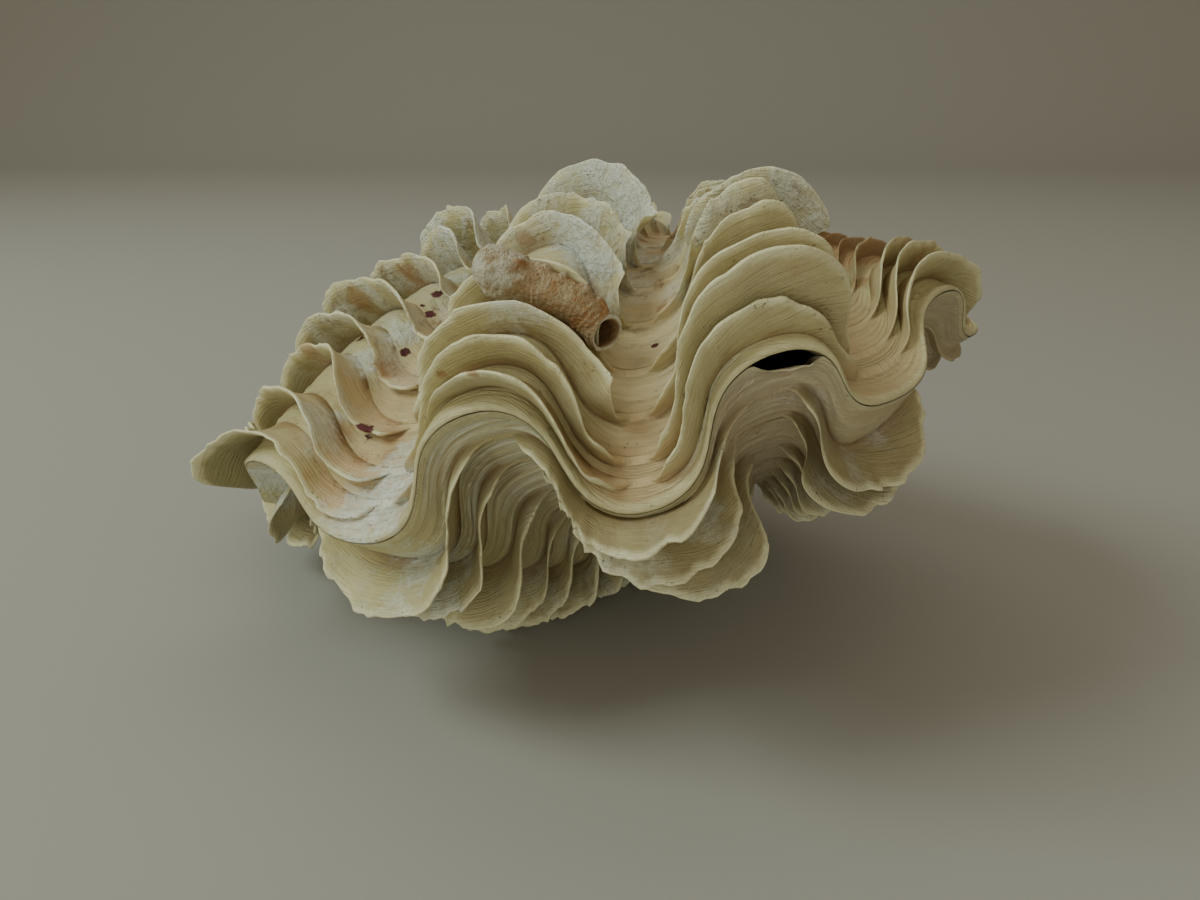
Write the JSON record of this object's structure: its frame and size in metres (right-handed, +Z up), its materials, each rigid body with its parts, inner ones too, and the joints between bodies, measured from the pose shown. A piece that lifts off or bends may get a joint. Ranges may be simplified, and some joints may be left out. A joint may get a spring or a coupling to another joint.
{
  "type": "giant clam shell",
  "caption": "Closed fluted giant clam shell with deep ribs, rows of leaf-like scales, a zig-zag mouth and a small encrusting tube, lying on its lower valve.",
  "frame": {"origin": "centre of the bounding box in plan, on the surface that the shell lies on", "axes": "+X to the right of the mouth's view, +Y towards the hinge, +Z up"},
  "size_m": [0.2778, 0.2519, 0.1612],
  "materials": {
    "upper_shell": "matte cream shell with an olive tint, peach valleys, orange-brown stains and chalky worn scale edges",
    "lower_shell": "matte cream to grey-buff shell with fine growth lines and white scale edges",
    "tube_crust": "rough ribbed crust, chalky white with orange-brown stains"
  },
  "bodies": {
    "root": {"upper_valve": "upper_shell", "lower_valve": "lower_shell", "worm_tube": "tube_crust"}
  },
  "joints": []
}
